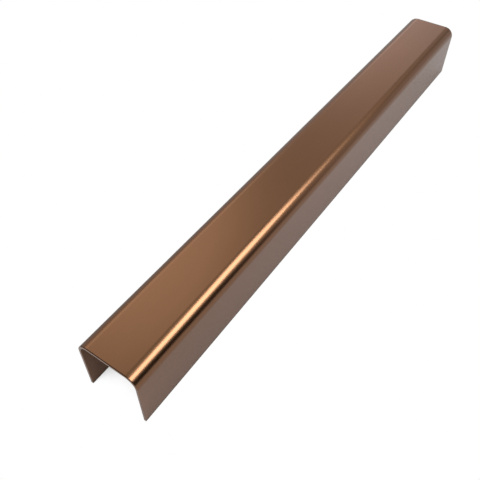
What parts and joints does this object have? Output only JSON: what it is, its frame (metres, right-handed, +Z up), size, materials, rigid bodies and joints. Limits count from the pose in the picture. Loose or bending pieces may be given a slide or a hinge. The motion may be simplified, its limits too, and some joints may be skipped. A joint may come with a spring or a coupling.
{
  "type": "stainless steel u-profile",
  "caption": "Folded U-profile of thin stainless sheet with a satin bronze finish, rounded bends and equal legs, lying web up. Covers and finishes the edge of a panel.",
  "frame": {"origin": "on the ground under the middle of the profile, centred across the web and along the length", "axes": "+Z up through the web's outer face, +Y along the profile, +X across the web"},
  "size_m": [0.0244, 0.25, 0.025],
  "materials": {
    "bronze_coated_stainless": "satin"
  },
  "bodies": {
    "root": {"u_profile": "bronze_coated_stainless"}
  },
  "joints": []
}
